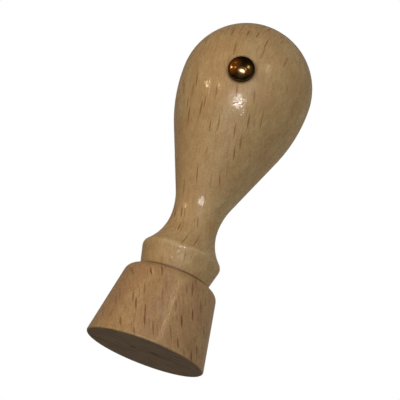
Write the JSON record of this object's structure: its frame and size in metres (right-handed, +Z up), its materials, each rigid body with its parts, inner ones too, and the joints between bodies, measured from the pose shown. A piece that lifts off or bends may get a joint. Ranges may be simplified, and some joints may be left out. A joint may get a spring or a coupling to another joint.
{
  "type": "rubber stamp",
  "caption": "Hand stamp of turned wood: a pear-shaped handle with a collar on a round tapered base with a flat die face, and a domed metal nail marking the front.",
  "frame": {"origin": "centre of the flat lower face of the base", "axes": "+Z up along the turning axis to the top of the handle, -Y towards the marker nail, which is the stamp's front"},
  "size_m": [0.0346, 0.0365, 0.0922],
  "materials": {
    "base_wood": "steamed beech with a thin clear lacquer, bare on the flat lower face",
    "dowel_wood": "raw beech dowel",
    "handle_wood": "beech with a glossy clear lacquer",
    "pin_steel": "bright wire",
    "cap_metal": "polished, dark bronze tone"
  },
  "bodies": {
    "root": {"base": "base_wood", "dowel": "dowel_wood", "handle": "handle_wood", "nail_pin": "pin_steel", "nail_cap": "cap_metal"}
  },
  "joints": []
}
